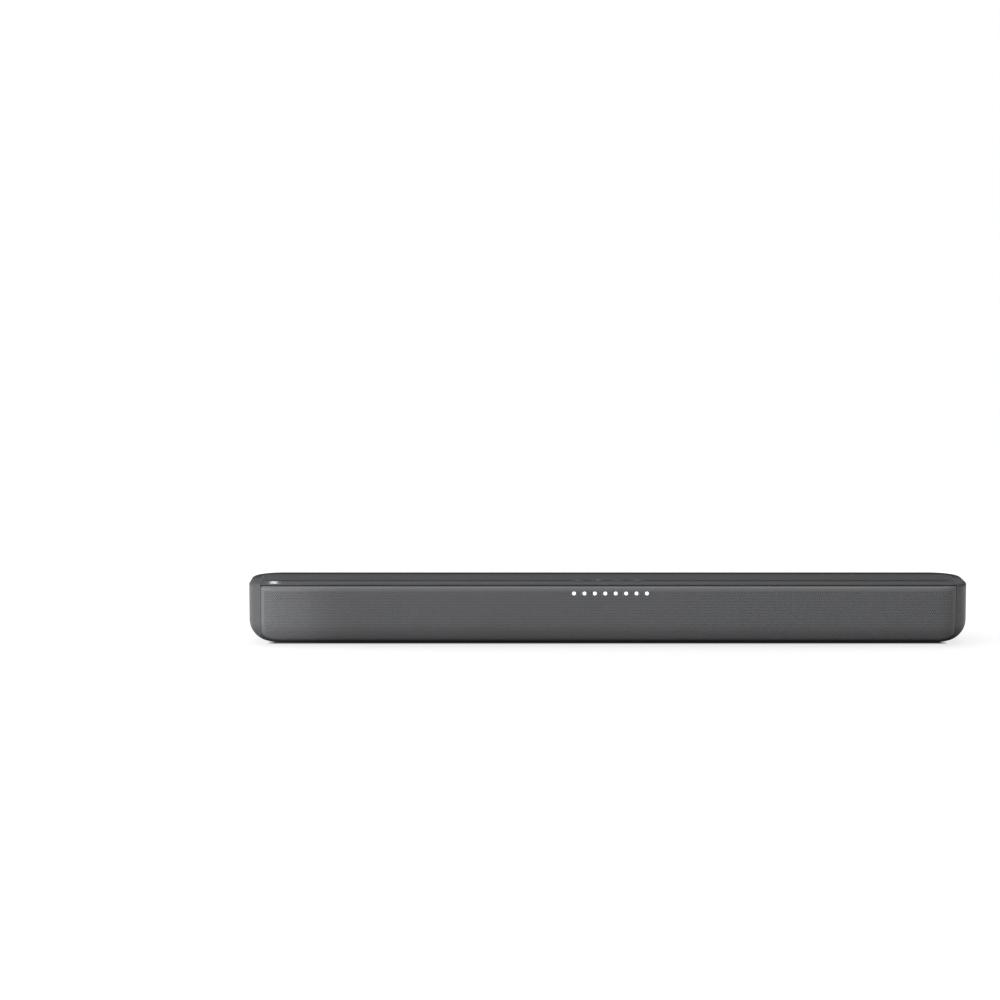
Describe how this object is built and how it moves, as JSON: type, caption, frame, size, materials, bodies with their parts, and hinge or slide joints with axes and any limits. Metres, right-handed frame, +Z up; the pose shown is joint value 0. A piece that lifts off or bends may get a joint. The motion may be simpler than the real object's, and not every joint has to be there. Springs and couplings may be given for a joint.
{
  "type": "soundbar speaker",
  "caption": "Long low soundbar with a wrap-round perforated grille, rounded end caps, a gloss strip of press keys on top, indicator lights and a recessed connector bay.",
  "frame": {"origin": "on the resting plane, under the centre of the case", "axes": "+X to the listener's right along the length, +Y towards the back, +Z up"},
  "size_m": [0.8, 0.1001, 0.0705],
  "materials": {
    "case_plastic": "fine spark texture",
    "cap_plastic": "satin",
    "grille_metal": "satin powder coat, perforated",
    "cloth": "open weave",
    "frame_plastic": "moulded",
    "strip_gloss": "piano gloss",
    "key_plastic": "satin",
    "foot_rubber": "matt",
    "roll_rubber": "soft",
    "zinc_screw": "blackened",
    "plate_steel": "galvanised",
    "basket_steel": "powder coat",
    "motor_steel": "zinc plated",
    "ferrite": "sintered",
    "cone_paper": "pressed pulp",
    "cap_paper": "coated pulp",
    "copper_coil": "enamelled winding",
    "spider_cloth": "resin-treated weave",
    "dome_silk": "coated silk",
    "baffle_board": "moulded",
    "green_board": "solder mask",
    "black_board": "solder mask",
    "chip_black": "epoxy",
    "sink_aluminium": "extruded",
    "winding": "taped winding",
    "can_sleeve": "shrink sleeve",
    "diode": "moulded lens",
    "clear_guide": "polished clear resin",
    "ir_lens": "dark translucent",
    "socket_black": "moulded",
    "socket_shell": "nickel plated",
    "contact_brass": "plated",
    "shutter_plastic": "moulded",
    "bay_plastic": "moulded",
    "wire_pvc": "insulation",
    "switch_body": "moulded"
  },
  "bodies": {
    "housing": {"top_cover": "case_plastic", "bottom_case": "case_plastic", "left_end_cap": "cap_plastic", "right_end_cap": "cap_plastic", "front_grille": "grille_metal", "grille_cloth": "cloth", "grille_frame": "frame_plastic", "accent_strip": "strip_gloss", "rubber_feet": "foot_rubber", "case_screws": "zinc_screw", "wall_plates": "plate_steel", "front_baffle": "baffle_board", "driver_screws": "zinc_screw", "light_board": "black_board", "indicator_lights": "diode", "light_guides": "clear_guide", "remote_receiver": "ir_lens", "key_board": "green_board", "key_switches": "switch_body", "main_board": "green_board", "power_board": "green_board", "board_chips": "chip_black", "heat_sink": "sink_aluminium", "power_transformer": "winding", "power_capacitors": "can_sleeve", "board_screws": "zinc_screw", "connector_bay": "bay_plastic", "socket_panel": "bay_plastic", "mains_inlet": "socket_black", "inlet_pins": "contact_brass", "hdmi_socket": "socket_shell", "usb_socket": "socket_shell", "aux_jack": "socket_black", "optical_socket": "socket_black", "speaker_wires": "wire_pvc", "woofer_baskets": "basket_steel", "woofer_top_plates": "motor_steel", "woofer_magnets": "ferrite", "woofer_yokes": "motor_steel", "tweeter_housings": "frame_plastic", "tweeter_magnets": "motor_steel", "left_woofer_surround": "roll_rubber", "left_woofer_spider": "spider_cloth", "left_tweeter_surround": "roll_rubber", "right_woofer_surround": "roll_rubber", "right_woofer_spider": "spider_cloth", "right_tweeter_surround": "roll_rubber"},
    "power_button_body": {"power_button": "key_plastic"},
    "source_button_body": {"source_button": "key_plastic"},
    "volume_down_button_body": {"volume_down_button": "key_plastic"},
    "volume_up_button_body": {"volume_up_button": "key_plastic"},
    "left_woofer_motion": {"left_woofer_cone": "cone_paper", "left_woofer_dust_cap": "cap_paper", "left_woofer_voice_coil": "copper_coil"},
    "left_tweeter_motion": {"left_tweeter_dome": "dome_silk"},
    "right_woofer_motion": {"right_woofer_cone": "cone_paper", "right_woofer_dust_cap": "cap_paper", "right_woofer_voice_coil": "copper_coil"},
    "right_tweeter_motion": {"right_tweeter_dome": "dome_silk"},
    "optical_shutter_body": {"optical_shutter": "shutter_plastic"}
  },
  "joints": [
    {"name": "power_button_press", "type": "slide", "parent": "housing", "child": "power_button_body", "axis": [0, 0, -1], "range_m": [0, 0.0006], "stiffness_N_per_m": 800, "springref_m": -0.0003},
    {"name": "source_button_press", "type": "slide", "parent": "housing", "child": "source_button_body", "axis": [0, 0, -1], "range_m": [0, 0.0006], "stiffness_N_per_m": 800, "springref_m": -0.0003},
    {"name": "volume_down_button_press", "type": "slide", "parent": "housing", "child": "volume_down_button_body", "axis": [0, 0, -1], "range_m": [0, 0.0006], "stiffness_N_per_m": 800, "springref_m": -0.0003},
    {"name": "volume_up_button_press", "type": "slide", "parent": "housing", "child": "volume_up_button_body", "axis": [0, 0, -1], "range_m": [0, 0.0006], "stiffness_N_per_m": 800, "springref_m": -0.0003},
    {"name": "left_woofer_stroke", "type": "slide", "parent": "housing", "child": "left_woofer_motion", "axis": [0, -1, 0], "range_m": [-0.003, 0.003], "stiffness_N_per_m": 900, "deforming": ["left_woofer_surround", "left_woofer_spider"]},
    {"name": "left_tweeter_stroke", "type": "slide", "parent": "housing", "child": "left_tweeter_motion", "axis": [0, -1, 0], "range_m": [-0.0003, 0.0003], "stiffness_N_per_m": 1000, "deforming": ["left_tweeter_surround"]},
    {"name": "right_woofer_stroke", "type": "slide", "parent": "housing", "child": "right_woofer_motion", "axis": [0, -1, 0], "range_m": [-0.003, 0.003], "stiffness_N_per_m": 900, "deforming": ["right_woofer_surround", "right_woofer_spider"]},
    {"name": "right_tweeter_stroke", "type": "slide", "parent": "housing", "child": "right_tweeter_motion", "axis": [0, -1, 0], "range_m": [-0.0003, 0.0003], "stiffness_N_per_m": 1000, "deforming": ["right_tweeter_surround"]},
    {"name": "optical_shutter_swing", "type": "hinge", "parent": "housing", "child": "optical_shutter_body", "pos_m": [-0.024, 0.0234, 0.02545], "axis": [-1, 0, 0], "range_deg": [0, 85], "stiffness_Nm_per_rad": 0.0005, "springref_deg": -11.46}
  ]
}
